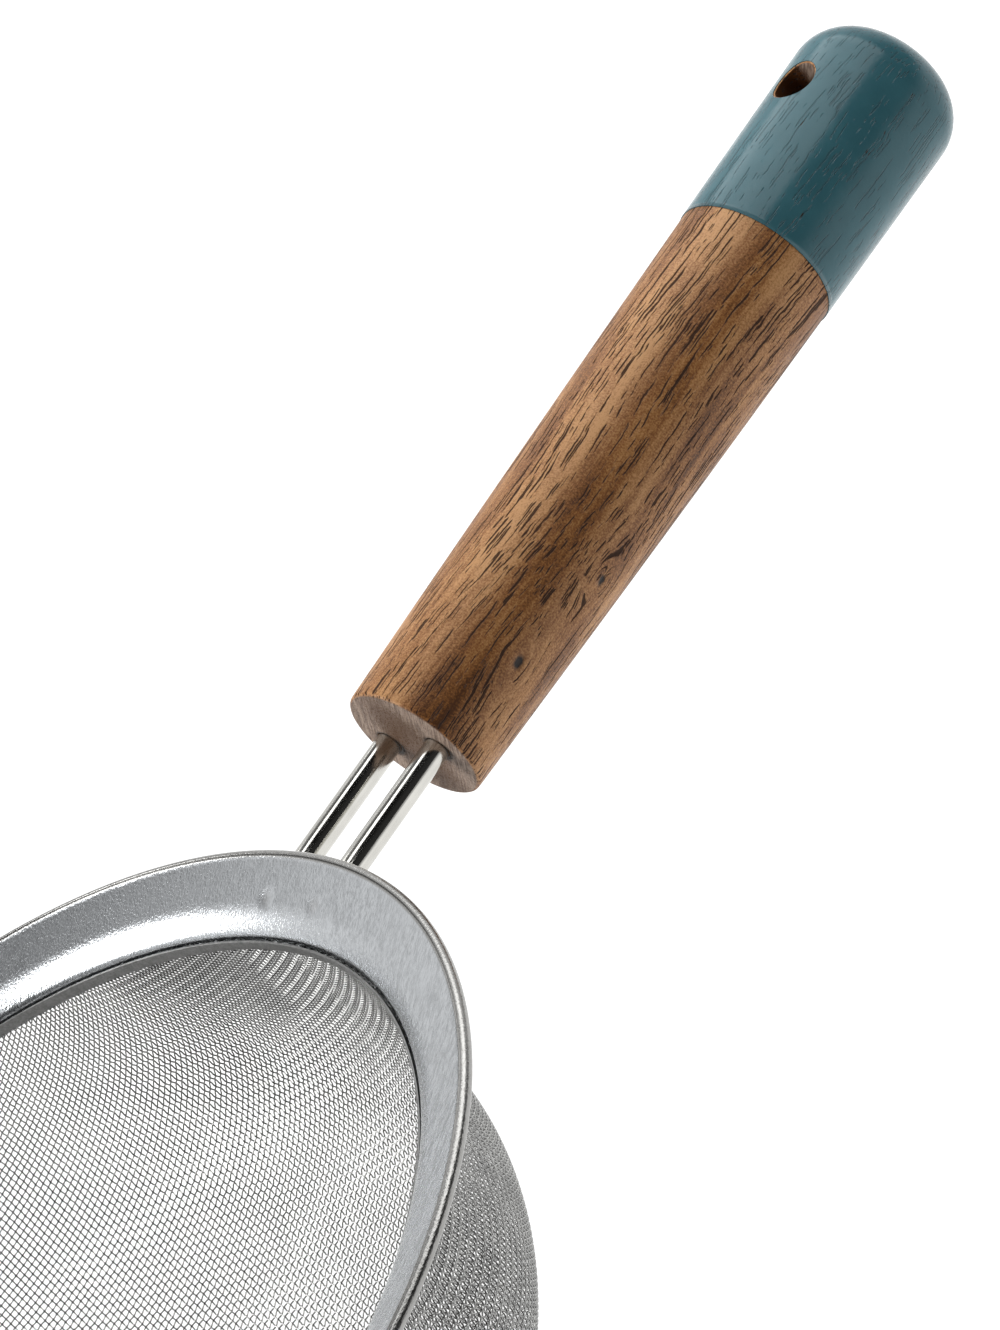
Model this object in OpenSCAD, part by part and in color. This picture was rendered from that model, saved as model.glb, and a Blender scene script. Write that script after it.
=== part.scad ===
// Fine-mesh strainer: a woven steel bowl in a flanged rim, on a turned handle with two steel rods.
// The origin is the centre of the rim, level with the top of its rolled edge.
// +X runs from there towards the handle and +Z up out of the bowl. Sizes are in millimetres.

/* [Rim] */
// Outside diameter of the rolled rim
rim_d = 150; // [120:1:200]
// Thickness of the rim's sheet
rim_sheet = 0.6; // [0.4:0.05:0.8]
// Radius of the edge, rolled shut on itself
roll_r = 0.8; // [0.7:0.05:1.2]
// Width of the flange, from the outside of the rim to the neck
flange_w = 10.05; // [8:0.05:16]
// Slope of the flange's flat part, down towards the bowl, in degrees
flange_slope = 22; // [10:1:30]
// Radius of the wide bend where the flange turns down
bend_r = 8; // [5:0.5:10]
// Slope at which the wide bend gives way to the tight one, in degrees
bend_end = 50; // [40:1:65]
// Radius of the tight bend into the neck
throat_r = 1.5; // [1:0.1:2]
// Depth of the neck's lower edge below the top of the rim
neck_drop = 7.6; // [7.2:0.1:12]

/* [Mesh bowl] */
// Diameter of the mesh's wire
wire_d = 0.22; // [0.15:0.01:0.35]
// Depth of the bowl below the top of the rim
bowl_depth = 59.3; // [52:0.1:90]
// Depth at which the straight wall turns into the bottom
wall_drop = 19.2; // [12:0.1:24]
// Radius of the turn from the wall to the bottom
knuckle_r = 27.8; // [18:0.1:29]
// Depth of the mesh's top edge below the top of the rim
cloth_drop = 5.8; // [5.7:0.05:6.4]

/* [Clamp ring] */
// Thickness of the ring that holds the mesh in the neck
clamp_t = 0.3; // [0.2:0.05:0.6]
// Height of the ring
clamp_h = 1.55; // [1.2:0.05:3]
// Depth of the ring's top edge below the top of the rim
clamp_drop = 5.4; // [5.2:0.05:6]

/* [Rods] */
// Diameter of each rod
rod_d = 3.5; // [3:0.1:5]
// Distance between the two rods' axes
rod_pitch = 10.2; // [8.5:0.1:11.5]
// Length of rod that shows between the rim and the handle
rod_show = 19.9; // [10:0.1:60]
// Length of rod inside the handle
rod_in = 43; // [20:1:60]
// Space between the rods and the rolled edge above them
rod_gap = 0.23; // [0.1:0.01:1]
// Rise of the rods and the handle, in degrees
handle_rise = 0.7; // [0:0.1:8]
// Width of a rod's flattened end
rod_flat_w = 5; // [4:0.1:6]
// Thickness of a rod's flattened end
rod_flat_t = 1.7; // [1.2:0.1:2]

/* [Handle] */
// Length of the handle
handle_l = 120; // [90:1:160]
// Diameter of its front end
handle_front_d = 19.5; // [18:0.1:26]
// Diameter where the rounded end begins
handle_d = 23.7; // [20:0.1:32]
// How far the flank swells beyond a straight taper
handle_swell = 0.2; // [0:0.05:0.6]
// Radius of the rounded end's shoulder
shoulder_r = 6.5; // [4:0.1:9]
// Radius of the rounded end's cap
cap_r = 17; // [16.5:0.1:40]
// Radius of the eased edge round the front face
front_ease = 0.5; // [0.2:0.1:2]
// Space for glue round each rod
glue_gap = 0.08; // [0.05:0.01:0.3]
// Depth of each bore beyond the end of its rod
bore_spare = 2; // [1:0.5:6]
// Distance from the front face to where the glue begins
glue_inset = 0.6; // [0:0.1:3]

/* [Hanging hole and paint] */
// Diameter of the hanging hole
hang_hole_d = 6.3; // [4:0.1:9]
// Distance from the hanging hole's axis to the end of the handle
hang_hole_inset = 15.1; // [12:0.1:30]
// Thickness of the coat of paint
paint_t = 0.12; // [0.05:0.01:0.3]
// Distance from the paint's edge to the end of the handle
paint_l = 37.9; // [25:0.1:70]
// Width of bare wood round the mouth of the hanging hole
paint_hole_gap = 0.25; // [0:0.05:1]

/* [Bowl rest] */
// Diameter of the rest's wire
rest_wire_d = 2.5; // [2:0.1:3]
// Outside width of the rest
rest_w = 30; // [20:0.5:44]
// How far the rest reaches beyond the rim
rest_reach = 15; // [12:0.5:30]
// Radius of the rest's two corners, on the wire's axis
rest_corner_r = 9; // [5:0.5:9.5]
// Width of the flattened ends of the rest
rest_flat_w = 4; // [3:0.1:6]
// Thickness of the flattened ends of the rest
rest_flat_t = 1.2; // [0.8:0.1:1.6]
// Space between the rest's wire and the rolled edge above it
rest_gap = 0.15; // [0.1:0.05:0.5]

/* [Welds] */
// Diameter of a weld nugget
weld_d = 2.4; // [1.5:0.1:3]
// How deep a nugget goes into the sheet and into the wire's flattened end
weld_bite = 0.25; // [0.15:0.05:0.3]
// Distance from a nugget's centre out to the start of the flange's flat part
weld_reach = 5; // [4:0.1:5.4]
// Distance from a nugget's centre to the inner end of the flattened wire
weld_land = 1.7; // [1.6:0.1:2.4]

/* [Hidden] */

$fn = 96;
rim_r = rim_d / 2;
neck_r = rim_r - flange_w;
cloth_t = 2 * wire_d;

// A slope's outward direction from a bend's centre is at 90 degrees plus the slope.
function slope_dir(slope) = [-sin(slope), cos(slope)];

// The flange leaves the rolled edge on its inner side and runs down to the two bends.
roll_c = [rim_r - roll_r, -roll_r];
roll_leave = 42;
flange_p = roll_c + roll_r * slope_dir(roll_leave);
flat_run = flange_p[0] - neck_r - bend_r * (sin(bend_end) - sin(flange_slope)) - throat_r * (1 - sin(bend_end));
bend_c = flange_p - flat_run * [1, tan(flange_slope)] - bend_r * slope_dir(flange_slope);
throat_c = bend_c + (bend_r - throat_r) * slope_dir(bend_end);
into_roll = 0.35 * roll_r * [cos(flange_slope), sin(flange_slope)];
bend_steps = 7;
throat_steps = 6;

// The flange's outline from the rolled edge to the neck, at a depth below its upper face
function flange_line(depth) = [
    flange_p + into_roll - depth * slope_dir(flange_slope),
    for (i = [0 : bend_steps])
        bend_c + (bend_r - depth) * slope_dir(flange_slope + (bend_end - flange_slope) * i / bend_steps),
    for (i = [1 : throat_steps])
        throat_c + (throat_r - depth) * slope_dir(bend_end + (90 - bend_end) * i / throat_steps)
];

function reversed(points) = [for (i = [len(points) - 1 : -1 : 0]) points[i]];

// Height of the underside of the flange's flat part at a radius
function under_z(r) = flange_p[1] - (flange_p[0] - r) * tan(flange_slope) - rim_sheet / cos(flange_slope);

// The bowl's bottom is a cap that meets the turn from the wall without a corner.
turn_r = neck_r - knuckle_r;
dish_h = bowl_depth - wall_drop;
bowl_cap_r = (neck_r * neck_r + dish_h * dish_h - 2 * neck_r * knuckle_r) / (2 * (dish_h - knuckle_r));
bowl_cap_z = bowl_cap_r - bowl_depth;
bowl_cap_a = asin(turn_r / (bowl_cap_r - knuckle_r));

// The handle's rounded end: how long it is, and where its cap meets its shoulder
shoulder_c = handle_d / 2 - shoulder_r;
end_h = cap_r - sqrt(pow(cap_r - shoulder_r, 2) - pow(shoulder_c, 2));
flank_l = handle_l - end_h;
cap_a = asin(shoulder_c / (cap_r - shoulder_r));
flank_steps = 12;
ease_steps = 5;

rod_drop = 2 * roll_r + rod_gap + rod_d / 2;
rod_bore_d = rod_d + 2 * glue_gap;
bore_l = rod_in + bore_spare;
weld_r = flange_p[0] - weld_reach;
rest_z = -2 * roll_r - rest_gap - rest_wire_d / 2;
rest_y = (rest_w - rest_wire_d) / 2;
// Round wire begins this far outside the rim, and the flattened part begins this far inside it
wire_start = 0.5;
flat_start = 3.6;
slice = 0.02;
reach_past = 10;
// Neighbouring arcs of one outline run this far into each other, in degrees
seam = 0.3;

// A band of thickness t inside radius r, from angle a0 to angle a1, less than 180 degrees apart
module arc_band(c, r, t, a0, a1) {
    am = (a0 + a1) / 2;
    far = 2 * r / cos((a1 - a0) / 2);
    translate(c)
        intersection() {
            difference() {
                circle(r = r, $fn = 720);
                circle(r = r - t, $fn = 720);
            }
            polygon([[0, 0], far * [cos(a0), sin(a0)], far * [cos(am), sin(am)], far * [cos(a1), sin(a1)]]);
        }
}

module rim_body() {
    rotate_extrude($fn = 180) {
        translate(roll_c) circle(r = roll_r);
        polygon([
            each flange_line(0),
            [neck_r, -neck_drop],
            [neck_r + rim_sheet, -neck_drop],
            each reversed(flange_line(rim_sheet))
        ]);
    }
}

// Nuggets stand square to the underside of the flange, half in the sheet and half in the wire.
module nuggets(y) {
    for (side = [-1, 1])
        rotate([0, 0, asin(side * y / weld_r)])
            translate([weld_r, 0, under_z(weld_r)])
                rotate([0, -flange_slope, 0])
                    cylinder(h = 2 * weld_bite, d = weld_d, center = true, $fn = 48);
}

// Where a line along X, set off to one side by y, crosses the circle of radius r
function cross_x(r, y) = sqrt(r * r - y * y);

// The end of a round wire that runs along X, pressed flat against the underside of the flange
module flattened_end(y, wire, axis_z, w, t) {
    end_x = cross_x(weld_r, y) - weld_land + w / 2;
    flat_r = rim_r - flat_start;
    flat_x = cross_x(flat_r, y);
    tall = t / cos(flange_slope);
    hull() {
        translate([rim_r + wire_start, y, axis_z]) rotate([0, 90, 0]) cylinder(h = slice, d = wire, $fn = 32);
        translate([flat_x, y, under_z(flat_r) - tall / 2]) cube([slice, w, tall], center = true);
    }
    intersection() {
        translate([0, y, -reach_past])
            linear_extrude(2 * reach_past) {
                translate([end_x, 0]) circle(d = w);
                translate([end_x, -w / 2]) square([flat_x - end_x, w]);
            }
        rotate_extrude($fn = 180)
            polygon([each flange_line(rim_sheet), each reversed(flange_line(rim_sheet + t))]);
    }
}

// Puts a shape that is made along +Z on the handle's axis, starting level with the rim's edge
module on_handle() {
    translate([rim_r, 0, -rod_drop])
        rotate([0, 90 - handle_rise, 0])
            children();
}

function flank_radius(k) = handle_front_d / 2 + k * (handle_d - handle_front_d) / 2 + 4 * handle_swell * k * (1 - k);

// Half of the handle's outline, grown outwards by a coat
module handle_profile(coat) {
    polygon([
        [0, 0],
        for (i = [0 : ease_steps])
            let (a = 90 * i / ease_steps)
            [handle_front_d / 2 + coat - front_ease * (1 - sin(a)), front_ease * (1 - cos(a))],
        for (i = [1 : flank_steps])
            let (k = i / flank_steps)
            [flank_radius(k) + coat, k * flank_l],
        [0, flank_l]
    ]);
    meet = (cap_r + coat) * [sin(cap_a), cos(cap_a)];
    intersection() {
        translate([0, handle_l - cap_r]) circle(r = cap_r + coat, $fn = 360);
        polygon([[0, flank_l], [shoulder_c, flank_l], [meet[0], handle_l - cap_r + meet[1]],
                 [meet[0], handle_l + coat + 1], [0, handle_l + coat + 1]]);
    }
    intersection() {
        translate([shoulder_c, flank_l]) circle(r = shoulder_r + coat, $fn = 360);
        translate([shoulder_c - slice, flank_l]) square(2 * shoulder_r);
    }
}

// The hanging hole, square to the handle's axis
module hang_hole(d) {
    translate([0, 0, rod_show + handle_l - hang_hole_inset])
        rotate([0, 90, 0])
            cylinder(h = 2 * handle_d, d = d, center = true);
}

module rim_ring() {
    color("silver")
        difference() {
            rim_body();
            nuggets(rod_pitch / 2);
            rotate([0, 0, 180]) nuggets(rest_y);
        }
}

module clamp_ring() {
    outer = neck_r - cloth_t;
    color("dimgray")
        rotate_extrude($fn = 180)
            translate([outer - clamp_t, -clamp_drop - clamp_h])
                square([clamp_t, clamp_h]);
}

module mesh_bowl() {
    color("lightgray")
        rotate_extrude($fn = 180) {
            translate([neck_r - cloth_t, -wall_drop]) square([cloth_t, wall_drop - cloth_drop]);
            arc_band([turn_r, -wall_drop], knuckle_r, cloth_t, bowl_cap_a - 90 - seam, seam);
            arc_band([0, bowl_cap_z], bowl_cap_r, cloth_t, -90, bowl_cap_a - 90);
        }
}

module rod(side) {
    color("gainsboro")
        difference() {
            union() {
                on_handle() translate([0, side * rod_pitch / 2, 0]) cylinder(h = rod_show + rod_in, d = rod_d);
                flattened_end(side * rod_pitch / 2, rod_d - slice, -rod_drop, rod_flat_w, rod_flat_t);
            }
            nuggets(rod_pitch / 2);
        }
}

module rod_left() {
    rod(1);
}

module rod_right() {
    rod(-1);
}

module rod_welds() {
    color("gray") nuggets(rod_pitch / 2);
}

module handle() {
    color("sienna")
        on_handle()
            difference() {
                translate([0, 0, rod_show]) rotate_extrude() handle_profile(0);
                for (side = [-1, 1])
                    translate([0, side * rod_pitch / 2, rod_show - 1]) cylinder(h = bore_l + 1, d = rod_bore_d);
                hang_hole(hang_hole_d);
            }
}

module handle_paint() {
    color("cadetblue")
        on_handle()
            difference() {
                translate([0, 0, rod_show])
                    rotate_extrude()
                        difference() {
                            intersection() {
                                handle_profile(paint_t);
                                translate([0, handle_l - paint_l]) square([handle_d, paint_l + 1]);
                            }
                            handle_profile(0);
                        }
                hang_hole(hang_hole_d + 2 * paint_hole_gap);
            }
}

module rod_adhesive() {
    color("wheat")
        on_handle()
            for (side = [-1, 1])
                translate([0, side * rod_pitch / 2, rod_show])
                    difference() {
                        translate([0, 0, glue_inset]) cylinder(h = bore_l - glue_inset, d = rod_bore_d);
                        cylinder(h = rod_in, d = rod_d);
                    }
}

module bowl_rest() {
    end_x = rim_r + rest_reach - rest_wire_d / 2;
    corner_x = end_x - rest_corner_r;
    color("gainsboro")
        rotate([0, 0, 180])
            difference() {
                union() {
                    for (side = [-1, 1]) {
                        translate([rim_r, side * rest_y, rest_z])
                            rotate([0, 90, 0])
                                cylinder(h = corner_x - rim_r, d = rest_wire_d, $fn = 48);
                        flattened_end(side * rest_y, rest_wire_d - slice, rest_z, rest_flat_w, rest_flat_t);
                        translate([corner_x, side * (rest_y - rest_corner_r), rest_z])
                            rotate([0, 0, side > 0 ? 0 : -90])
                                rotate_extrude(angle = 90)
                                    translate([rest_corner_r, 0]) circle(d = rest_wire_d, $fn = 48);
                    }
                    translate([end_x, 0, rest_z])
                        rotate([90, 0, 0])
                            cylinder(h = 2 * (rest_y - rest_corner_r), d = rest_wire_d, center = true, $fn = 48);
                }
                nuggets(rest_y);
            }
}

module rest_welds() {
    color("gray") rotate([0, 0, 180]) nuggets(rest_y);
}

rim_ring();
clamp_ring();
mesh_bowl();
rod_left();
rod_right();
rod_welds();
handle();
handle_paint();
rod_adhesive();
bowl_rest();
rest_welds();
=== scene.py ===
import bpy
import numpy as np
from mathutils import Matrix, Vector


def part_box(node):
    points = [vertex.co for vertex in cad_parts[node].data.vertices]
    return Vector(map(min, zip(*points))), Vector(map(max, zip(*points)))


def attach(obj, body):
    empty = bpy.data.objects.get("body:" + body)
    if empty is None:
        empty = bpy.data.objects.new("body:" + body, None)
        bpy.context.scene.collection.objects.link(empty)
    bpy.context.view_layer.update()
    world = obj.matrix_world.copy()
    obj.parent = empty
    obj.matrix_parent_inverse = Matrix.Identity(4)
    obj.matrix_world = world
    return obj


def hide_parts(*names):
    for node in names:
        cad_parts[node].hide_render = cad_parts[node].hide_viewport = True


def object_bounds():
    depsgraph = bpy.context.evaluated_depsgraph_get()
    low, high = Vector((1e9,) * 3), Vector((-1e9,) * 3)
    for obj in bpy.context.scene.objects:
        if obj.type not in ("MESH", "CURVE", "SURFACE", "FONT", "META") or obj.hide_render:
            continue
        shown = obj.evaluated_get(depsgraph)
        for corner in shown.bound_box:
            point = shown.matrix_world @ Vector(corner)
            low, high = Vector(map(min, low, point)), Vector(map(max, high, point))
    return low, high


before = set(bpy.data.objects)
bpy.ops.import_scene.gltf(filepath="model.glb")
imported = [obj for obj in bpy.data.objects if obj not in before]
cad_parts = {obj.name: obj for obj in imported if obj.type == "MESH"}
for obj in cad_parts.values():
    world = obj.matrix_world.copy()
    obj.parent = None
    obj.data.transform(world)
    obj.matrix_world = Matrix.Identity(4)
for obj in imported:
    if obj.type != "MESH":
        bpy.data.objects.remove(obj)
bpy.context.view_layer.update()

# ---------------------------------------------------------------------------
# THE RIM
# One ring of thin stainless sheet. Its outer edge is rolled shut into a bead, the flange slopes
# down to the bowl, and the neck below it holds the mesh. The sheet is brushed in straight lines
# before it is pressed, and four spot welds from below leave faint marks in the flange.
# ---------------------------------------------------------------------------
MM = 0.001


def new_piece(name, points, faces, nodes, material, numbers=None, layout=None):
    """Makes a piece from points in millimetres and arrays of faces, each array with one number of corners.
    numbers are extra values kept at the points by name, and layout is the flat map of each face's corners."""
    mesh = bpy.data.meshes.new(name)
    points = np.asarray(points, float).reshape(-1, 3)
    corners = np.concatenate([f.ravel() for f in faces])
    sizes = np.concatenate([np.full(len(f), f.shape[1]) for f in faces])
    mesh.vertices.add(len(points))
    mesh.vertices.foreach_set("co", (points * MM).ravel())
    mesh.loops.add(len(corners))
    mesh.loops.foreach_set("vertex_index", corners)
    mesh.polygons.add(len(sizes))
    mesh.polygons.foreach_set("loop_start", np.cumsum(sizes) - sizes)
    if layout is not None:
        mesh.uv_layers.new(name="OFBake").data.foreach_set("uv", layout.ravel())
    for key, values in (numbers or {}).items():
        kind = "FLOAT_VECTOR" if np.ndim(values) == 2 else "FLOAT"
        kept = mesh.attributes.new(key, kind, "POINT")
        kept.data.foreach_set("vector" if kind == "FLOAT_VECTOR" else "value", np.ravel(values))
    mesh.update(calc_edges=True)
    mesh.shade_smooth()
    mesh.materials.append(material)
    piece = bpy.data.objects.new(name, mesh)
    bpy.context.scene.collection.objects.link(piece)
    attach(piece, "root")
    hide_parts(*nodes)
    return piece


def turned(outline, around):
    """A shape of revolution: each point (radius, height) of the outline, carried round Z in equal steps,
    with one row of the grid for each step."""
    angle = np.linspace(0, 2 * np.pi, around, endpoint=False)[:, None]
    radius, height = outline[:, 0], outline[:, 1]
    return np.stack([radius * np.cos(angle), radius * np.sin(angle), height + 0 * angle], -1)


def ring_faces(around, along):
    """The faces of a ring that is closed both ways: round the axis and round its own outline."""
    step, spot = np.arange(around)[:, None] * along, np.arange(along)[None, :]
    onward, beside = (step + along) % (around * along), (spot + 1) % along
    return np.stack([step + spot, onward + spot, onward + beside, step + beside], -1).reshape(-1, 4)


def arc(centre, radius, start, end, count):
    """Points on a circle, from a start to an end angle in degrees."""
    angle = np.radians(np.linspace(start, end, count))[:, None]
    return np.array(centre) + radius * np.hstack([np.cos(angle), np.sin(angle)])


def line(start, end, count):
    """Evenly spaced points between two points, without the last."""
    start, end = np.array(start), np.array(end)
    return start + (end - start) * np.linspace(0, 1, count, endpoint=False)[:, None]


def shade(tree, kind, inputs=None, **settings):
    """Adds a shader node with its settings, and gives each input a value or another node's output."""
    node = tree.nodes.new("ShaderNode" + kind)
    for key, value in settings.items():
        setattr(node, key, value)
    for key, value in (inputs or {}).items():
        if isinstance(value, bpy.types.NodeSocket):
            tree.links.new(value, node.inputs[key])
        else:
            node.inputs[key].default_value = value
    return node


def maths(tree, operation, *values):
    """One sum worked out in the shader."""
    return shade(tree, "Math", dict(enumerate(values)), operation=operation).outputs[0]


def vector(tree, operation, *values):
    """One sum of places or ways worked out in the shader."""
    return shade(tree, "VectorMath", dict(enumerate(values)), operation=operation).outputs[0]


def length_of(tree, place):
    """How far a place is from the middle."""
    return shade(tree, "VectorMath", {0: place}, operation="LENGTH").outputs["Value"]


def spread(tree, value, low, high, to_low=0.0, to_high=1.0, kind="LINEAR"):
    """Carries a value from one range to another and stops at its ends."""
    ends = {0: value, 1: low, 2: high, 3: to_low, 4: to_high}
    return shade(tree, "MapRange", ends, interpolation_type=kind).outputs[0]


def blended(tree, share, first, second):
    """A colour between two colours."""
    return shade(tree, "Mix", {0: share, 6: first, 7: second}, data_type="RGBA").outputs[2]


def toned(colour, share=1.0):
    """A colour with a share of its brightness, in the four numbers that a shader takes."""
    return (*(share * part for part in colour), 1)


def clouds(tree, place, scale, detail=2.0):
    """A noise with about scale clouds to a millimetre."""
    return shade(tree, "TexNoise", {"Vector": place, "Scale": scale, "Detail": detail}).outputs[0]


def fibre(tree, place, along, across, detail=2.0):
    """A noise drawn out along X: its marks are along by across millimetres."""
    scale = (1 / along, 1 / across, 1 / across)
    return clouds(tree, shade(tree, "Mapping", {"Vector": place, "Scale": scale}).outputs[0], 1.0, detail)


def raised(tree, shader, height, distance, strength=1.0):
    """Raises a finish by a height; distance is in metres."""
    bump = shade(tree, "Bump", {"Height": height, "Distance": distance, "Strength": strength}).outputs[0]
    tree.links.new(bump, shader.inputs["Normal"])


def new_finish(name):
    """A material with its shader, and the place of each point in millimetres."""
    material = bpy.data.materials.new(name)
    material.use_nodes = True
    tree = material.node_tree
    place = shade(tree, "TexCoord").outputs["Object"]
    place = shade(tree, "Mapping", {"Vector": place, "Scale": (1 / MM,) * 3}).outputs[0]
    return material, tree, tree.nodes["Principled BSDF"], place


rim_low, rim_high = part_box("rim_ring")
rim_r = (rim_high.x - rim_low.x) / 2 / MM
neck_drop = -rim_low.z / MM
sheet, sheet_edge, bead_r, flange_w = 0.6, 0.12, 0.8, 10.05
neck_r = rim_r - flange_w
bend_r, throat_r = 8, 1.5
# Slopes and the angles round the bead are in degrees.
flange_slope, bend_end = 22, 50
seam_angle, seam_depth, seam_width = 107, 0.17, 7
seam_from, seam_to = 89, 130
leave_angle, under_meets = 132, 191.2


def slope_dir(slope):
    """The direction square to a slope, up and inwards."""
    return np.array([-np.sin(np.radians(slope)), np.cos(np.radians(slope))])


bead_c = np.array([rim_r - bead_r, -bead_r])
flange_p = bead_c + bead_r * slope_dir(leave_angle - 90)
rise = np.tan(np.radians(flange_slope))
bend_run = bend_r * (np.sin(np.radians(bend_end)) - np.sin(np.radians(flange_slope)))
throat_run = throat_r * (1 - np.sin(np.radians(bend_end)))
flat_run = flange_p[0] - neck_r - bend_run - throat_run
flat_end = flange_p - flat_run * np.array([1, rise])
bend_c = flat_end - bend_r * slope_dir(flange_slope)
throat_c = bend_c + (bend_r - throat_r) * slope_dir(bend_end)
under_p = flange_p - sheet * slope_dir(flange_slope)


def rim_outline():
    """The rim's cut face, run round with the steel on its left: flange, bends, neck, and back underneath to
    the bead. The bead's radius dips where the sheet's edge closes on itself."""
    edge, foot_z = sheet_edge, sheet_edge - neck_drop
    upper = [line(flange_p, flat_end, 12),
             arc(bend_c, bend_r, 90 + flange_slope, 90 + bend_end, 14)[:-1],
             arc(throat_c, throat_r, 90 + bend_end, 180, 9)[:-1],
             line([neck_r, throat_c[1]], [neck_r, foot_z], 4)]
    foot = [arc([neck_r + edge, foot_z], edge, 180, 270, 4),
            arc([neck_r + sheet - edge, foot_z], edge, 270, 360, 4)]
    below = [line([neck_r + sheet, foot_z + edge], [neck_r + sheet, throat_c[1]], 4),
             arc(throat_c, throat_r - sheet, 180, 90 + bend_end, 7)[:-1],
             arc(bend_c, bend_r - sheet, 90 + bend_end, 90 + flange_slope, 12)[:-1],
             line(flat_end - sheet * slope_dir(flange_slope), arc(bead_c, bead_r, under_meets, 0, 1)[0], 8)]
    turn = np.concatenate([np.linspace(under_meets, 360 + seam_from - 4, 26),
                           np.linspace(360 + seam_from, 360 + seam_to, 22)])
    dip = seam_depth * np.exp(-(((turn - 360 - seam_angle) / seam_width) ** 2))
    turn = np.radians(turn)
    bead = bead_c + (bead_r - dip)[:, None] * np.stack([np.cos(turn), np.sin(turn)], -1)
    return np.concatenate([*upper, *foot, *below, bead])


weld_out, weld_rest_y, rod_y, weld_z = 68.66, 13.75, 5.1, -2.2
weld_spots = [(np.sqrt(weld_out**2 - y**2) * way, y * side)
              for y, way in ((rod_y, 1), (weld_rest_y, -1)) for side in (1, -1)]


def brushed(name, colour, rough, turn=0.0, lines=0.5, marks=(), rolled_from=None):
    """Brushed sheet: fine straight lines along X, turned by an angle, over a duller and a brighter cloud.
    marks are the middles of spot welds, and past the radius rolled_from the steel is darker, with a painted
    shadow along the seam's groove."""
    material, tree, shader, place = new_finish(name)
    along_lines = shade(tree, "Mapping", {"Vector": place, "Rotation": (0, 0, -turn)}).outputs[0]
    fine = fibre(tree, along_lines, 3.0, 0.24, 3.0)
    broad = fibre(tree, along_lines, 12.0, 0.8)
    grain = maths(tree, "ADD", maths(tree, "MULTIPLY", fine, 0.6), maths(tree, "MULTIPLY", broad, 0.4))
    dull = spread(tree, clouds(tree, place, 0.11, 3.0), 0.35, 0.65)
    tint = blended(tree, spread(tree, grain, 0.40, 0.58), toned(colour, 0.68), toned(colour))
    tint = blended(tree, maths(tree, "MULTIPLY", dull, 0.35), tint, toned(colour, 0.86))
    height = maths(tree, "MULTIPLY", clouds(tree, place, 3.0), 0.7 * lines)
    height = maths(tree, "ADD", maths(tree, "MULTIPLY", grain, lines), height)
    near = None
    for x, y in marks:
        gap = shade(tree, "VectorMath", {0: place, 1: (x, y, weld_z)}, operation="DISTANCE").outputs["Value"]
        near = gap if near is None else maths(tree, "MINIMUM", near, gap)
    if near is not None:
        height = maths(tree, "ADD", height, spread(tree, near, 0.2, 1.9, -3.0, 0.0, "SMOOTHSTEP"))
        tint = blended(tree, spread(tree, near, 0.3, 1.3, 0.16, 0.0), tint, (0.30, 0.27, 0.24, 1))
    if rolled_from:
        radius = length_of(tree, vector(tree, "MULTIPLY", place, (1, 1, 0)))
        rolled = spread(tree, radius, rolled_from - 0.1, rolled_from + 0.1, 0.0, 0.8)
        tint = blended(tree, rolled, tint, (0.27, 0.262, 0.245, 1))
        # Painted shadow: a near-black line along the groove where the bead's edge closes on itself.
        seam_shadow = maths(tree, "ABSOLUTE", maths(tree, "SUBTRACT", radius, rolled_from + 0.3))
        tint = blended(tree, spread(tree, seam_shadow, 0.05, 0.17, 0.65, 0.0), tint, (0.03, 0.028, 0.026, 1))
    tree.links.new(tint, shader.inputs["Base Color"])
    shader.inputs["Metallic"].default_value = 1.0
    tree.links.new(spread(tree, grain, 0.3, 0.7, rough + 0.07, rough - 0.05), shader.inputs["Roughness"])
    raised(tree, shader, height, 0.00004)
    return material


rim_around, brush_turn, rolled_w = 720, np.radians(8), 1.35
rim_points = turned(rim_outline(), rim_around)
rim_steel = brushed("rim_steel", (0.62, 0.64, 0.66), 0.24, brush_turn, 1.3, weld_spots, rim_r - rolled_w)
rim_faces = [ring_faces(rim_around, rim_points.shape[1])]
new_piece("rim", rim_points, rim_faces, ["rim_ring"], rim_steel)

# ---------------------------------------------------------------------------
# THE CLAMP RING
# A narrow band of plain drawn steel, pressed into the neck over the mesh's edge so that the mesh
# is pinched between the two. It is spot welded here and there and left as drawn.
# ---------------------------------------------------------------------------
clamp_low, clamp_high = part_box("clamp_ring")
clamp_r = (clamp_high.x - clamp_low.x) / 2 / MM
clamp_t, clamp_edge, clamp_around = 0.3, 0.08, 480


def band_outline(outer, inner, low, high, edge):
    """A flat band's cut face with four eased corners, run round with the steel on its left."""
    return np.concatenate([arc([inner + edge, high - edge], edge, 90, 180, 4),
                           arc([inner + edge, low + edge], edge, 180, 270, 4),
                           arc([outer - edge, low + edge], edge, 270, 360, 4),
                           arc([outer - edge, high - edge], edge, 0, 90, 4)])


clamp_outline = band_outline(clamp_r, clamp_r - clamp_t, clamp_low.z / MM, clamp_high.z / MM, clamp_edge)
clamp_points = turned(clamp_outline, clamp_around)
clamp_faces = [ring_faces(clamp_around, clamp_points.shape[1])]
clamp_steel = brushed("clamp_steel", (0.26, 0.26, 0.255), 0.36, lines=0.25)
new_piece("clamp_band", clamp_points, clamp_faces, ["clamp_ring"], clamp_steel)

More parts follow.
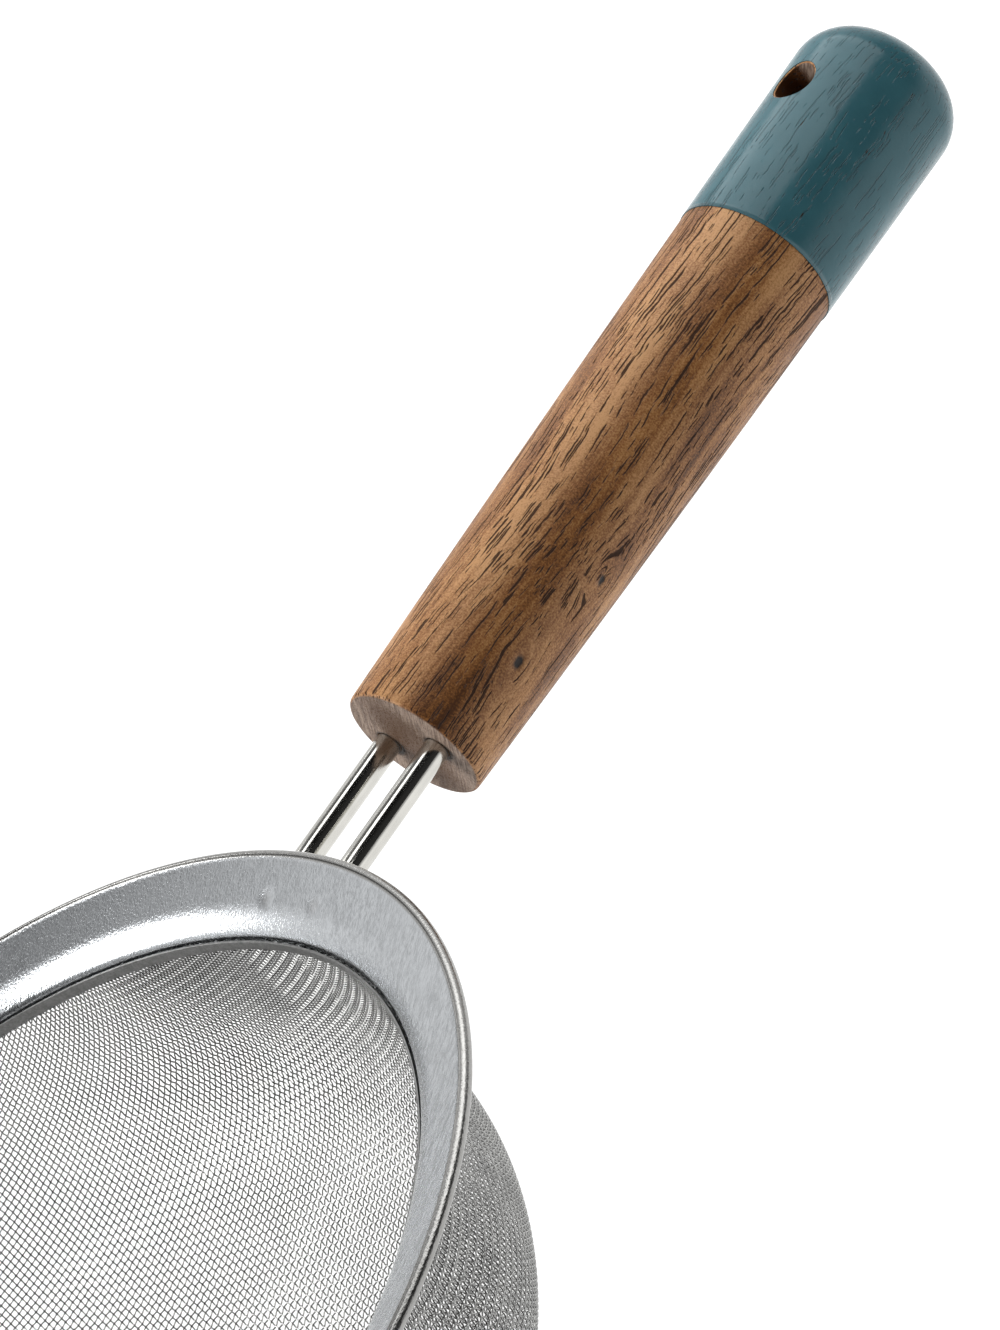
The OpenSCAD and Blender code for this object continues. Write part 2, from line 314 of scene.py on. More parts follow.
# ---------------------------------------------------------------------------
# THE WOVEN BOWL
# Plain woven stainless cloth, pressed into a round-bottomed bowl. Each wire goes over one and
# under the next, and the pressing turns the square openings into leaning ones towards the rim,
# because the wires keep their spacing along themselves and can only swing where they cross.
# ---------------------------------------------------------------------------
bowl_low, bowl_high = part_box("mesh_bowl")
wire_d, wire_pitch, wire_sides = 0.22, 0.85, 5
lay = np.radians(-14)
wall_z, knuckle_r = -19.2, 27.8
bowl_r, bowl_top, bowl_depth = bowl_high.x / MM, bowl_high.z / MM, -bowl_low.z / MM
turn_r = bowl_r - knuckle_r
dish = bowl_depth + wall_z
cap_r = (bowl_r**2 + dish**2 - 2 * bowl_r * knuckle_r) / (2 * (dish - knuckle_r))
cap_z = cap_r - bowl_depth
cap_angle = np.arcsin(turn_r / (cap_r - knuckle_r))


def cloth_gap(place):
    """How far a point is outside the middle of the cloth, and the way straight out. The middle is a ball
    below, a ring's inside at the turn and a tube above, each half the cloth's thickness in from the
    outside."""
    across = np.hypot(place[:, 0], place[:, 1])
    height = place[:, 2]
    on_cap = (across < (cap_z - height) * np.tan(cap_angle)) & (height < wall_z)
    on_wall = height >= wall_z
    middle_r = np.where(on_cap, 0.0, turn_r)
    middle_z = np.where(on_cap, cap_z, wall_z)
    out, up = across - middle_r, np.where(on_wall, 0.0, height - middle_z)
    length = np.hypot(out, up)
    gap = length - (np.where(on_cap, cap_r, knuckle_r) - wire_d)
    sideways = out / length / across
    return gap, np.stack([sideways * place[:, 0], sideways * place[:, 1], up / length], -1)


def meridian(length):
    """The places along one line from the middle of the cloth up to the rim, at given lengths along it."""
    ball, ring = cap_r - wire_d, knuckle_r - wire_d
    first, second = ball * cap_angle, ring * (np.pi / 2 - cap_angle)
    low = np.minimum(length, first) / ball
    turn = cap_angle + np.clip(length - first, 0, second) / ring
    up = np.maximum(length - first - second, 0)
    on_cap = length < first
    out = np.where(on_cap, ball * np.sin(low), turn_r + ring * np.sin(turn))
    height = np.where(on_cap, cap_z - ball * np.cos(low), wall_z - ring * np.cos(turn)) + up
    return out, height


def cloth_quarter(count):
    """A quarter of the cloth's crossings. The first wire each way lies along a meridian, and each further
    crossing is one spacing from its two neighbours and on the cloth, found by a few Newton steps, a whole
    diagonal of crossings at a time."""
    net = np.full((count, count, 3), np.nan)
    out, height = meridian(np.arange(count) * wire_pitch)
    net[:, 0] = np.stack([out, 0 * out, height], -1)
    net[0, :] = np.stack([0 * out, out, height], -1)
    for diagonal in range(2, 2 * count - 1):
        i = np.arange(max(1, diagonal - count + 1), min(count - 1, diagonal - 1) + 1)
        j = diagonal - i
        before, beside = net[i - 1, j], net[i, j - 1]
        found = before + beside - net[i - 1, j - 1]
        known = ~np.isnan(found[:, 0])
        if not known.any():
            break
        i, j, before, beside, found = i[known], j[known], before[known], beside[known], found[known]
        for _ in range(5):
            gap, out_way = cloth_gap(found)
            rows = np.stack([found - before, found - beside, out_way], 1)
            left = np.stack([(wire_pitch**2 - ((found - before) ** 2).sum(1)) / 2,
                             (wire_pitch**2 - ((found - beside) ** 2).sum(1)) / 2, -gap], 1)
            found = found + np.linalg.solve(rows, left[..., None])[..., 0]
        found[found[:, 2] > bowl_top + 3 * wire_pitch] = np.nan
        net[i, j] = found
    return net


def quarter_turns(net, turns):
    """A net turned about Z by whole quarters."""
    x, y, z = net[..., 0], net[..., 1], net[..., 2]
    for _ in range(turns):
        x, y = -y, x
    return np.stack([x, y, z], -1)


cloth_run = cap_r * cap_angle + knuckle_r * (np.pi / 2 - cap_angle) - wall_z
count = int(np.ceil(cloth_run / wire_pitch)) + 1
quarter = cloth_quarter(count)
mirror = quarter.transpose(1, 0, 2)
middle = count - 1
crossings = np.full((2 * count - 1, 2 * count - 1, 3), np.nan)
crossings[middle:, middle:] = quarter
crossings[middle::-1, middle:] = quarter_turns(mirror, 1)
crossings[middle::-1, middle::-1] = quarter_turns(quarter, 2)
crossings[middle:, middle::-1] = quarter_turns(mirror, 3)
cloth_x = crossings[..., 0] * np.cos(lay) - crossings[..., 1] * np.sin(lay)
cloth_y = crossings[..., 0] * np.sin(lay) + crossings[..., 1] * np.cos(lay)
crossings = np.stack([cloth_x, cloth_y, crossings[..., 2]], -1)
with np.errstate(invalid="ignore"):
    outwards = cloth_gap(crossings.reshape(-1, 3))[1].reshape(crossings.shape)
outwards[middle, middle] = (0, 0, -1)
number = np.arange(2 * count - 1)
over = np.where((number[:, None] + number[None, :]) % 2, 1.0, -1.0)


def unit(ways):
    """Ways with a length of one."""
    return ways / np.linalg.norm(ways, axis=-1, keepdims=True)


def wires(spots, ways, side, bend=0.21):
    """The wires that run along the grid's first direction. Near each crossing a wire has two rings, each a
    share of a spacing before or after it and half a wire to one side of the cloth, so that it lies flat
    over the crossing and slants to the next. Returns the rings' middles, the ways out of the cloth there,
    the wires' own ways, and which rings are below the cloth's edge."""
    ahead = np.full_like(spots, np.nan)
    behind = ahead.copy()
    ahead[:-1] = bend * (spots[1:] - spots[:-1])
    behind[1:] = bend * (spots[:-1] - spots[1:])
    lifted = spots + ways * (side * wire_d / 2)[..., None]
    rings = np.stack([lifted + behind, lifted + ahead], 1)
    rings = rings.reshape(-1, *spots.shape[1:]).transpose(1, 0, 2)
    facing = np.repeat(ways, 2, axis=0).transpose(1, 0, 2)
    with np.errstate(invalid="ignore"):
        kept = rings[..., 2] < bowl_top
    step = np.nan_to_num(rings[:, 1:] - rings[:, :-1]) * (kept[:, 1:] & kept[:, :-1])[..., None]
    run = np.zeros_like(rings)
    run[:, 1:] += step
    run[:, :-1] += step
    kept &= np.linalg.norm(run, axis=-1) > 0
    return rings, facing, run, kept


def wire_mesh(rings, facing, run, kept, map_width=0.9, map_dot=0.001):
    """Round wires as closed tubes: each ring is a small many-sided circle square to the run, and the ends
    are flat. On the flat map each wire is a strip, map_width of its share wide, and each end is a dot."""
    place, up, along = rings[kept], facing[kept], unit(run[kept])
    aside = unit(np.cross(along, up))
    up = np.cross(aside, along)
    angle = np.linspace(0, 2 * np.pi, wire_sides, endpoint=False)
    circle_up, circle_aside = np.cos(angle)[:, None] * up[:, None], np.sin(angle)[:, None] * aside[:, None]
    points = place[:, None] + wire_d / 2 * (circle_up + circle_aside)
    order = np.full(kept.shape, -1)
    order[kept] = np.arange(kept.sum())
    joined = kept[:, 1:] & kept[:, :-1]
    first, second = (wire_sides * order[:, cut][joined][:, None] for cut in (slice(None, -1), slice(1, None)))
    side = np.arange(wire_sides)
    beside = (side + 1) % wire_sides
    walls = np.stack([first + side, first + beside, second + beside, second + side], -1)
    blank = np.zeros((len(kept), 1), bool)
    starts = order[kept & ~np.hstack([blank, kept[:, :-1]])]
    ends = order[kept & ~np.hstack([kept[:, 1:], blank])]
    caps = np.concatenate([starts[:, None] * wire_sides + side[::-1], ends[:, None] * wire_sides + side])
    wire, step = (found[:, None] for found in np.nonzero(joined))
    low = (wire + side * map_width / wire_sides) / len(kept)
    high = (wire + (side + 1) * map_width / wire_sides) / len(kept)
    here, there = step / joined.shape[1] + 0 * side, (step + 1) / joined.shape[1] + 0 * side
    wall_corners = (here, low), (here, high), (there, high), (there, low)
    wall_map = np.stack([np.stack(corner, -1) for corner in wall_corners], 2)
    cap_wire, cap_step = (found[np.concatenate([starts, ends])][:, None] for found in np.nonzero(kept))
    cap_map = np.stack([cap_step / joined.shape[1] + map_dot * np.cos(angle),
                        cap_wire / len(kept) + map_dot * (1 + np.sin(angle))], -1)
    layout = np.concatenate([wall_map.reshape(-1, 2), cap_map.reshape(-1, 2)])
    return points, [walls.reshape(-1, 4), caps], np.clip(layout, 0, 1)


def wire_finish():
    """Bright drawn wire: a metal that is a little duller in clouds a few millimetres wide, with fine
    specks."""
    material, tree, shader, place = new_finish("mesh_steel")
    cloud = maths(tree, "MULTIPLY", clouds(tree, place, 0.25), 0.6)
    worn = maths(tree, "ADD", cloud, maths(tree, "MULTIPLY", clouds(tree, place, 9.0, 1.0), 0.4))
    tint = blended(tree, spread(tree, worn, 0.35, 0.65), (0.27, 0.27, 0.265, 1), (0.41, 0.41, 0.40, 1))
    tree.links.new(tint, shader.inputs["Base Color"])
    shader.inputs["Metallic"].default_value = 1.0
    shader.inputs["Roughness"].default_value = 0.10
    return material


mesh_steel = wire_finish()
groups = 4
turned_spots, turned_ways = crossings.transpose(1, 0, 2), outwards.transpose(1, 0, 2)
for name, spots, ways, side in (("warp", crossings, outwards, over),
                                ("weft", turned_spots, turned_ways, -over.T)):
    rings, facing, run, kept = wires(spots, ways, side)
    counted = np.cumsum(kept.sum(1))
    cuts = np.searchsorted(counted, counted[-1] * np.arange(1, groups) / groups)
    for part, chosen in enumerate(np.split(number, cuts), 1):
        used = chosen[kept[chosen].any(1)]
        points, faces, layout = wire_mesh(rings[used], facing[used], run[used], kept[used])
        new_piece(f"{name}_wires_{part}", points, faces, ["mesh_bowl"], mesh_steel,
                  layout=layout)

# ---------------------------------------------------------------------------
# THE RODS
# Two straight lengths of polished stainless wire that hold the rim to the handle. Each is pressed
# flat at its rim end and spot welded to the underside of the flange; the other end is glued into
# a deep bore in the handle.
# ---------------------------------------------------------------------------
rod_d, rod_flat_w, rod_flat_t = 3.5, 5.0, 1.7
rod_drop, handle_rise = 3.58, np.radians(0.7)
rod_show, rod_in = 19.9, 43.0
weld_land, flat_in, round_out = 1.7, 3.6, 0.5
lean = np.cos(np.radians(flange_slope))


def flange_under(radius):
    """Height of the flange's underside at a radius: a straight slope, then the bend's inner arc."""
    lower = bend_r - sheet
    flat_from = bend_c[0] + lower * slope_dir(flange_slope)[0]
    straight = under_p[1] - (under_p[0] - radius) * rise
    inside = np.sqrt(np.maximum(lower**2 - (radius - bend_c[0]) ** 2, 0)) + bend_c[1]
    return np.where(radius > flat_from, straight, inside)


def smooth(value):
    """A value from 0 to 1 eased at both ends: three times its square less twice its cube."""
    return value * value * (3 - 2 * value)


def pressed_limits(y, width):
    """A wire welded at a distance y from the middle: its tip, its rounded tip's radius, and its flat part's
    end."""
    return np.sqrt(weld_out**2 - y**2) - weld_land, width / 2, np.sqrt((rim_r - flat_in) ** 2 - y**2)


def pressed_places(y, width, steps):
    """Where such a wire has its rings: close together round its tip, along its flat part, and through its
    change to round at the rim's edge."""
    tip, nose, flat_x = pressed_limits(y, width)
    return np.concatenate([tip + nose * (1 - np.cos(np.linspace(0.03, np.pi / 2, steps[0]))),
                           np.linspace(tip + nose, flat_x, steps[1])[1:],
                           np.linspace(flat_x, rim_r + round_out, steps[2])[1:]])


def pressed_wire(x, y, weld_y, run_z, sideways, width, thick, wire, around):
    """A round wire with pressed ends, whose axis is at the places x and y and at the height run_z where it
    is round. Flatness goes from 1 at the weld to 0 past the rim, and lifts the wire against the flange.
    Each ring is a squarish oval: its half width and height go from the wire's radius to the pressed size as
    flatness grows, and its corners sharpen. A half circle rounds the tip, and a pressed ring leans with the
    flange above it."""
    tip, nose, flat_x = pressed_limits(weld_y, width)
    flat = 1 - smooth(np.clip((np.abs(x) - flat_x) / (rim_r + round_out - flat_x), 0, 1))
    plan = np.sqrt(np.clip(1 - (np.maximum(tip + nose - np.abs(x), 0) / nose) ** 2, 0, 1))
    pressed_z = flange_under(np.hypot(x, y)) - thick / lean / 2
    centre = np.stack([x, y, run_z + (pressed_z - run_z) * flat], -1)
    flat = flat[:, None]
    angle = np.linspace(0, 2 * np.pi, around, endpoint=False)
    power = 2 / (2 + 3.5 * flat)
    half_w = (wire / 2 + (width / 2 - wire / 2) * flat) * plan[:, None]
    half_h = wire / 2 + (thick / lean / 2 - wire / 2) * flat
    across = half_w * np.sign(np.cos(angle)) * np.abs(np.cos(angle)) ** power
    up = half_h * np.sign(np.sin(angle)) * np.abs(np.sin(angle)) ** power
    points = centre[:, None] + across[..., None] * sideways[:, None]
    under = flange_under(np.hypot(points[..., 0], points[..., 1])) - flange_under(np.hypot(x, y))[:, None]
    points[..., 2] += up + under * flat
    return points


def grid_faces(rows, cols):
    """The corners of each face of a grid whose points are counted row by row and whose last column joins
    its first."""
    row = np.arange(rows - 1)[:, None] * cols
    col = np.arange(cols)[None, :]
    beside = (col + 1) % cols
    return np.stack([row + beside, row + cols + beside, row + cols + col, row + col], -1).reshape(-1, 4)


def tube_faces(rings, around):
    """The walls of a tube whose rings follow one another, and its two flat ends."""
    turn = np.arange(around)
    return [grid_faces(rings, around), np.stack([turn, turn[::-1] + (rings - 1) * around])]


def drawn_steel(name, colour, rough):
    """Polished drawn wire: long faint die lines along its run, and a light dulling from handling."""
    material, tree, shader, place = new_finish(name)
    fine = fibre(tree, place, 9.0, 0.12, 3.0)
    cloud = maths(tree, "MULTIPLY", clouds(tree, place, 0.35, 3.0), 0.5)
    worn = maths(tree, "ADD", maths(tree, "MULTIPLY", fine, 0.5), cloud)
    tint = blended(tree, spread(tree, worn, 0.35, 0.65), toned(colour, 0.86), toned(colour))
    tree.links.new(tint, shader.inputs["Base Color"])
    shader.inputs["Metallic"].default_value = 1.0
    tree.links.new(spread(tree, worn, 0.3, 0.7, rough + 0.07, rough - 0.03), shader.inputs["Roughness"])
    speck = maths(tree, "MULTIPLY", clouds(tree, place, 6.0), 0.5)
    raised(tree, shader, maths(tree, "ADD", fine, speck), 0.000006)
    return material


def rod_points(y):
    """A rod's rings from its pressed tip under the flange to its end inside the handle."""
    round_part = np.linspace(rim_r + round_out, rim_r + rod_show + rod_in, 24)[1:]
    x = np.concatenate([pressed_places(y, rod_flat_w, (14, 6, 12)), round_part])
    axis = -rod_drop + (x - rim_r) * np.tan(handle_rise)
    sideways = np.tile([0.0, 1.0, 0.0], (len(x), 1))
    return pressed_wire(x, 0 * x + y, y, axis, sideways, rod_flat_w, rod_flat_t, rod_d, 32)


rod_steel = drawn_steel("rod_steel", (0.66, 0.65, 0.61), 0.10)
for name, node, y in (("rod_far", "rod_left", rod_y), ("rod_near", "rod_right", -rod_y)):
    points = rod_points(y)
    new_piece(name, points, tube_faces(*points.shape[:2]), [node], rod_steel)

# ---------------------------------------------------------------------------
# THE WELDS
# Fused spots between the flange and the flattened ends of the rods and of the bowl rest. They are
# hidden between the two, and are darker and rougher than the sheet.
# ---------------------------------------------------------------------------
def refinish(node, material):
    """Gives a CAD node a better material."""
    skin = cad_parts[node].data.materials
    skin.clear()
    skin.append(material)


weld_steel = brushed("weld_steel", (0.34, 0.32, 0.30), 0.5)
for node in ("rod_welds", "rest_welds"):
    refinish(node, weld_steel)

# ---------------------------------------------------------------------------
# THE HANDLE
# One turned piece of open-pored brown hardwood with a light oil finish. It swells a little towards
# a rounded end, has two bores for the rods in its front face, and a hanging hole straight
# through near the other end.
# ---------------------------------------------------------------------------
handle_l, front_r, end_r, swell = 120.0, 9.75, 11.85, 0.2
shoulder_r, dome_r, ease = 6.5, 17.0, 0.5
hole_r, hole_inset, hole_lip = 3.15, 15.1, 0.15
bore_r, bore_l, bore_lip = 1.83, 45.0, 0.15
shoulder_c = end_r - shoulder_r
dome_h = dome_r - np.sqrt((dome_r - shoulder_r) ** 2 - shoulder_c**2)
flank_l = handle_l - dome_h
dome_angle = np.degrees(np.arcsin(shoulder_c / (dome_r - shoulder_r)))
hole_along = handle_l - hole_inset
# The side's grid: columns round it, the space between most rows, and the finer rows on each side of the hole.
around, row_step, hole_step, hole_rows = 192, 0.8, 0.4, 17
# The front face's grid: the space between its circles, and the circle through the bores' middles.
face_step, bore_row = 0.36, 13


def handle_radius(along, coat):
    """The handle's radius at a distance from its front face, under a coat: a taper with a slight swell,
    then the shoulder's arc and the dome's."""
    share, past = along / flank_l, along - flank_l
    flank = front_r + (end_r - front_r) * share + 4 * swell * share * (1 - share) + coat
    on_shoulder = shoulder_c + np.sqrt(np.maximum((shoulder_r + coat) ** 2 - past**2, 0))
    on_dome = np.sqrt(np.maximum((dome_r + coat) ** 2 - (along - handle_l + dome_r) ** 2, 0))
    rounded = np.where(past > (shoulder_r + coat) * np.cos(np.radians(dome_angle)), on_dome, on_shoulder)
    return np.where(past > 0, rounded, flank)


def on_handle(along, across, height):
    """Carries a place on the handle's own axis, which starts level with the rim and rises a little, into
    the frame."""
    along = along + rod_show
    return np.stack([rim_r + along * np.cos(handle_rise) - height * np.sin(handle_rise), across,
                     -rod_drop + along * np.sin(handle_rise) + height * np.cos(handle_rise)], -1)


def round_hole(s, t, row, col, inner, ratio, radius, sign=1):
    """Opens a round hole in a grid whose points are at s and t from the hole's middle. In a block of rows
    and columns round (row, col) the points slide within the surface, so that an inner block's edge becomes
    a circle, and further out they keep more of their own place. Returns the block's rows and columns with
    the new s and t, the numbers of the circle's points in order, and the faces inside it."""
    i = np.arange(-int(ratio * inner[0]), int(ratio * inner[0]) + 1)[:, None]
    j = np.arange(-int(ratio * inner[1]), int(ratio * inner[1]) + 1)[None, :]
    a, b = i / inner[0] + 0 * j, j / inner[1] + 0 * i
    level = np.maximum(np.abs(a), np.abs(b))
    own = np.clip((level - 1) / (ratio - 1), 0, 1)
    rounded = (1 - own) * radius * np.minimum(level, 1) / np.maximum(np.hypot(a, b), 1e-9)
    rows, cols = row + i + 0 * j, (col + j + 0 * i) % around
    s, t = s[rows, cols] * own + rounded * a, t[rows, cols] * own + rounded * sign * b
    k1, k2 = inner
    edge_i = np.concatenate([np.full(2 * k2, -k1), np.arange(-k1, k1),
                             np.full(2 * k2, k1), np.arange(k1, -k1, -1)])
    edge_j = np.concatenate([np.arange(-k2, k2), np.full(2 * k1, k2),
                             np.arange(k2, -k2, -1), np.full(2 * k1, -k2)])
    inside = (np.abs(i[:-1] + 0.5) < k1) & (np.abs(j[:, :-1] + 0.5) < k2)
    mouth = (row + edge_i) * around + (col + edge_j) % around
    return rows, cols, s, t, mouth, (rows[:-1, :-1][inside], cols[:-1, :-1][inside])


def handle_rows(start, coat):
    """Distances from the front face for the rows of the handle's side, closer together and even near the
    hanging hole, and which row the hole's middle is on."""
    near = hole_along + hole_step * np.arange(-hole_rows, hole_rows + 1)
    before = np.linspace(start, near[0], max(2, int((near[0] - start) / row_step)), endpoint=False)
    after = np.linspace(near[-1], flank_l + 0.2, 2, endpoint=False)[1:]
    shoulder = flank_l + (shoulder_r + coat) * np.sin(np.radians(np.linspace(2, 90 - dome_angle, 9)))
    shoulder = shoulder[shoulder > near[-1] + 0.2]
    dome = handle_l - dome_r + (dome_r + coat) * np.cos(np.radians(np.linspace(dome_angle, 3, 14))[1:])
    return np.concatenate([before, near, after, shoulder, dome]), len(before) + hole_rows


def turned_side(along, reach):
    """Rows of points round the handle's axis, as (along, across, height), at a distance reach from it."""
    angle = np.arange(around) * 2 * np.pi / around
    reach = reach[:, None]
    return np.stack([along[:, None] + 0 * angle, reach * np.cos(angle), reach * np.sin(angle)], -1)


def side_surface(along, hole_row, coat, radius):
    """The handle's side as a grid of rows along it and columns round it, opened at the top and the bottom
    by the hanging hole."""
    place = turned_side(along, handle_radius(along, coat))
    mouths, gone = [], np.zeros((len(along), around), bool)
    for col, top in ((around // 4, 1), (3 * around // 4, -1)):
        s, t = place[..., 0] - hole_along, place[..., 1]
        rows, cols, s, t, mouth, inside = round_hole(s, t, hole_row, col, (8, 8), 2.12, radius, -top)
        height = np.sqrt(np.maximum(handle_radius(s + hole_along, coat) ** 2 - t**2, 0))
        place[rows, cols] = np.stack([s + hole_along, t, top * height], -1)
        gone[inside] = True
        mouths.append(mouth)
    return place, mouths, gone


def front_surface():
    """The front face and its eased edge, opened by the two bores."""
    radii = rod_y + face_step * np.arange(-bore_row, bore_row - 1)
    turn = np.radians(np.linspace(0, 90, 6))
    along = np.concatenate([0 * radii, ease * (1 - np.cos(turn))])
    place = turned_side(along, np.concatenate([radii, front_r - ease + ease * np.sin(turn)]))
    mouths, gone = [], np.zeros((len(along), around), bool)
    for col, way in ((0, 1), (around // 2, -1)):
        s, t = way * place[..., 1] - rod_y, way * place[..., 2]
        rows, cols, s, t, mouth, inside = round_hole(s, t, bore_row, col, (4, 9), 2.25, bore_r)
        place[rows, cols, 1], place[rows, cols, 2] = way * (s + rod_y), way * t
        gone[inside] = True
        mouths.append(mouth)
    return place, mouths, gone


def open_faces(rows, gone):
    """The grid's faces without those inside a hole."""
    return grid_faces(rows, around).reshape(rows - 1, around, 4)[~gone[:-1]]


def strip(first, second):
    """The faces between two loops of points that lie side by side."""
    return np.stack([first, np.roll(first, -1), np.roll(second, -1), second], -1)


def tip_fan(loop, tip):
    """Triangles from a loop to one point."""
    return np.stack([loop, np.roll(loop, -1), np.full(len(loop), tip)], -1)


# Each knot's distance from the front face and its angle, how wide it parts the grain, and its own size
knots = (((13.8, 176.7), 1.5, 0.9), ((29.9, 193.1), 1.9, 0.7))
# Bands of darker and of paler wood along the handle: each one's angle, half its width, and how strong it is
dark_bands = ((150, 17, 0.24), (196, 11, 0.20), (238, 20, 0.28),
              (300, 24, 0.35), (20, 22, 0.30), (86, 14, 0.14))
pale_bands = ((116, 14, 0.24), (214, 10, 0.12), (270, 14, 0.2))


def grain_place(place):
    """Where each point lies in the wood before the grain is bent: wandering waves along the handle, and a
    push away from each knot, as water parts round a post."""
    along, across, height = place[:, 0], place[:, 1], place[:, 2]
    across2 = across + 0.9 * np.sin(along / 17 + across / 9) + 0.45 * np.sin(along / 7.3 + height / 5 + 1.3)
    across2 = across2 + 0.05 * along
    height2 = height + 0.8 * np.cos(along / 21 - height / 8 + 0.6) + 0.35 * np.sin(along / 9.1 + across / 4)
    for (x, angle), size, _ in knots:
        out = np.array([np.cos(np.radians(angle)), np.sin(np.radians(angle))])
        aside = np.array([-out[1], out[0]])
        off = across * aside[0] + height * aside[1]
        depth = across * out[0] + height * out[1]
        apart = off**2 + ((along - x) / 2.2) ** 2 + 0.25 * size**2
        push = -off * size**2 / apart * np.clip(depth / 6, 0, 1)
        across2, height2 = across2 + push * aside[0], height2 + push * aside[1]
    return np.stack([along, across2, height2], -1)


def band_strength(angle, bands):
    """How strong a set of bands is at each angle: a bell curve for each band."""
    total = 0
    for centre, width, strength in bands:
        gap = np.angle(np.exp(1j * (angle - np.radians(centre))))
        total = total + strength * np.exp(-((gap / np.radians(width)) ** 2))
    return total


def wood_tone(place):
    """How dark the wood is, from 0 to 1, in bands that wander along the handle."""
    along = place[:, 0]
    angle = np.arctan2(place[:, 2], place[:, 1])
    wander = 0.16 * np.sin(along / 15 + 0.4) + 0.09 * np.sin(along / 6.2)
    tone = 0.34 + band_strength(angle - wander, dark_bands) - band_strength(angle + 0.7 * wander, pale_bands)
    tone = tone + 0.3 * np.exp(-((along / 16) ** 2) - ((angle - 2.6) / 0.5) ** 2)
    return np.clip(tone + 0.07 * np.sin(along / 5.3 + 3 * angle), 0, 1)


def knot_nearness(place):
    """1 at the middle of a knot, and 0 away from it."""
    found = np.zeros(len(place))
    for (x, angle), _, size in knots:
        reach, turn = handle_radius(np.array(x), 0), np.radians(angle)
        spot = np.array([x, reach * np.cos(turn), reach * np.sin(turn)])
        gap = (place - spot) / np.array([1.25, 1.0, 0.8]) / size
        found = np.maximum(found, np.exp(-(gap**2).sum(1) ** 1.5))
    return found


def wood_numbers(place):
    """The values kept at the wood's points; the hanging hole's wall is painted dark, as shade inside the
    hole.
    """
    # Painted shade: the wall of the hanging hole is given a much darker tone.
    painted_hole_shade = np.hypot(place[:, 0] - hole_along, place[:, 1]) < hole_r + 0.01
    tone = wood_tone(place) + 1.5 * painted_hole_shade
    return {"grain": grain_place(place), "tone": tone, "knot": knot_nearness(place)}


def strokes(tree, grain, long, wide, size, moved):
    """Short dark strokes: each cell of a stretched net holds one tapered stroke; size is its half length as
    a share of the cell's, and moved shifts the net."""
    cell = shade(tree, "Mapping", {"Vector": grain, "Location": (moved,) * 3}).outputs[0]
    cell = shade(tree, "Mapping", {"Vector": cell, "Scale": (1 / long, 1 / wide, 1 / wide)}).outputs[0]
    gap = shade(tree, "TexVoronoi", {"Vector": cell, "Scale": 1.0, "Randomness": 1.0}).outputs["Distance"]
    return spread(tree, maths(tree, "SUBTRACT", size, gap), 0.0, 0.07)


def pores(tree, grain, share=1.0):
    """Open pores: dark tapered strokes along the grain, 2 to 8 mm long and up to 0.35 mm wide, a little
    wavy, and closer and larger in belts; share makes them all smaller."""
    sway = shade(tree, "TexNoise", {"Vector": grain, "Scale": 0.35, "Detail": 2.0}).outputs["Color"]
    sway = vector(tree, "MULTIPLY", vector(tree, "SUBTRACT", sway, (0.5, 0.5, 0.5)), (0.0, 0.6, 0.6))
    grain = vector(tree, "ADD", grain, sway)
    belt = fibre(tree, grain, 30.0, 2.0)
    found = None
    for long, wide, belt_from, belt_to, small, large, moved in (
            (20.0, 0.52, 0.34, 0.62, 0.17, 0.37, 3.0),
            (11.0, 0.38, 0.34, 0.62, 0.16, 0.33, 41.0),
            (30.0, 0.46, 0.64, 0.36, 0.15, 0.32, 77.0)):
        size = spread(tree, belt, belt_from, belt_to, small * share, large * share)
        stroke = strokes(tree, grain, long, wide, size, moved)
        found = stroke if found is None else maths(tree, "MAXIMUM", found, stroke)
    return found


def wood_ramp(tree, depth):
    """The wood's colours, from tan through brown to nearly black."""
    ramp = shade(tree, "ValToRGB", {0: depth})
    first, last = ramp.color_ramp.elements
    first.position, first.color = 0.0, (0.53, 0.275, 0.108, 1)
    last.position, last.color = 1.0, (0.08, 0.027, 0.006, 1)
    ramp.color_ramp.elements.new(0.3).color = (0.39, 0.182, 0.062, 1)
    ramp.color_ramp.elements.new(0.6).color = (0.24, 0.094, 0.024, 1)
    return ramp.outputs[0]


def sawn_end(tree, place, speckle):
    """The front face's colour and its saw lines: greyer wood, a painted shadow of the rods in brown between
    them, and dark round the bores."""
    sawn = shade(tree, "Mapping", {"Vector": place, "Rotation": (np.radians(52), 0, 0)}).outputs[0]
    sawn = shade(tree, "Mapping", {"Vector": sawn, "Scale": (0.3, 0.35, 4.2)}).outputs[0]
    saw = clouds(tree, sawn, 1.0, 3.0)
    colour = blended(tree, spread(tree, saw, 0.38, 0.62), (0.17, 0.115, 0.085, 1), (0.36, 0.265, 0.205, 1))
    middle = vector(tree, "SUBTRACT", place, (rim_r + rod_show, 0, -rod_drop))
    to_bore = vector(tree, "SUBTRACT", vector(tree, "ABSOLUTE", middle), (0, rod_y, 0))
    to_bore = length_of(tree, vector(tree, "MULTIPLY", to_bore, (0, 1, 1)))
    # Painted shadow of the rods: darker brown on the face between the two bores.
    rod_shadow = length_of(tree, vector(tree, "MULTIPLY", middle, (0.2, 0.8, 0.35)))
    rod_shadow = maths(tree, "ADD", rod_shadow, spread(tree, speckle, 0.3, 0.7, -0.5, 0.5))
    colour = blended(tree, spread(tree, rod_shadow, 2.4, 4.4, 0.85, 0.0), colour, (0.095, 0.046, 0.021, 1))
    colour = blended(tree, spread(tree, to_bore, 2.0, 2.5, 0.9, 0.0), colour, (0.018, 0.010, 0.006, 1))
    return colour, saw


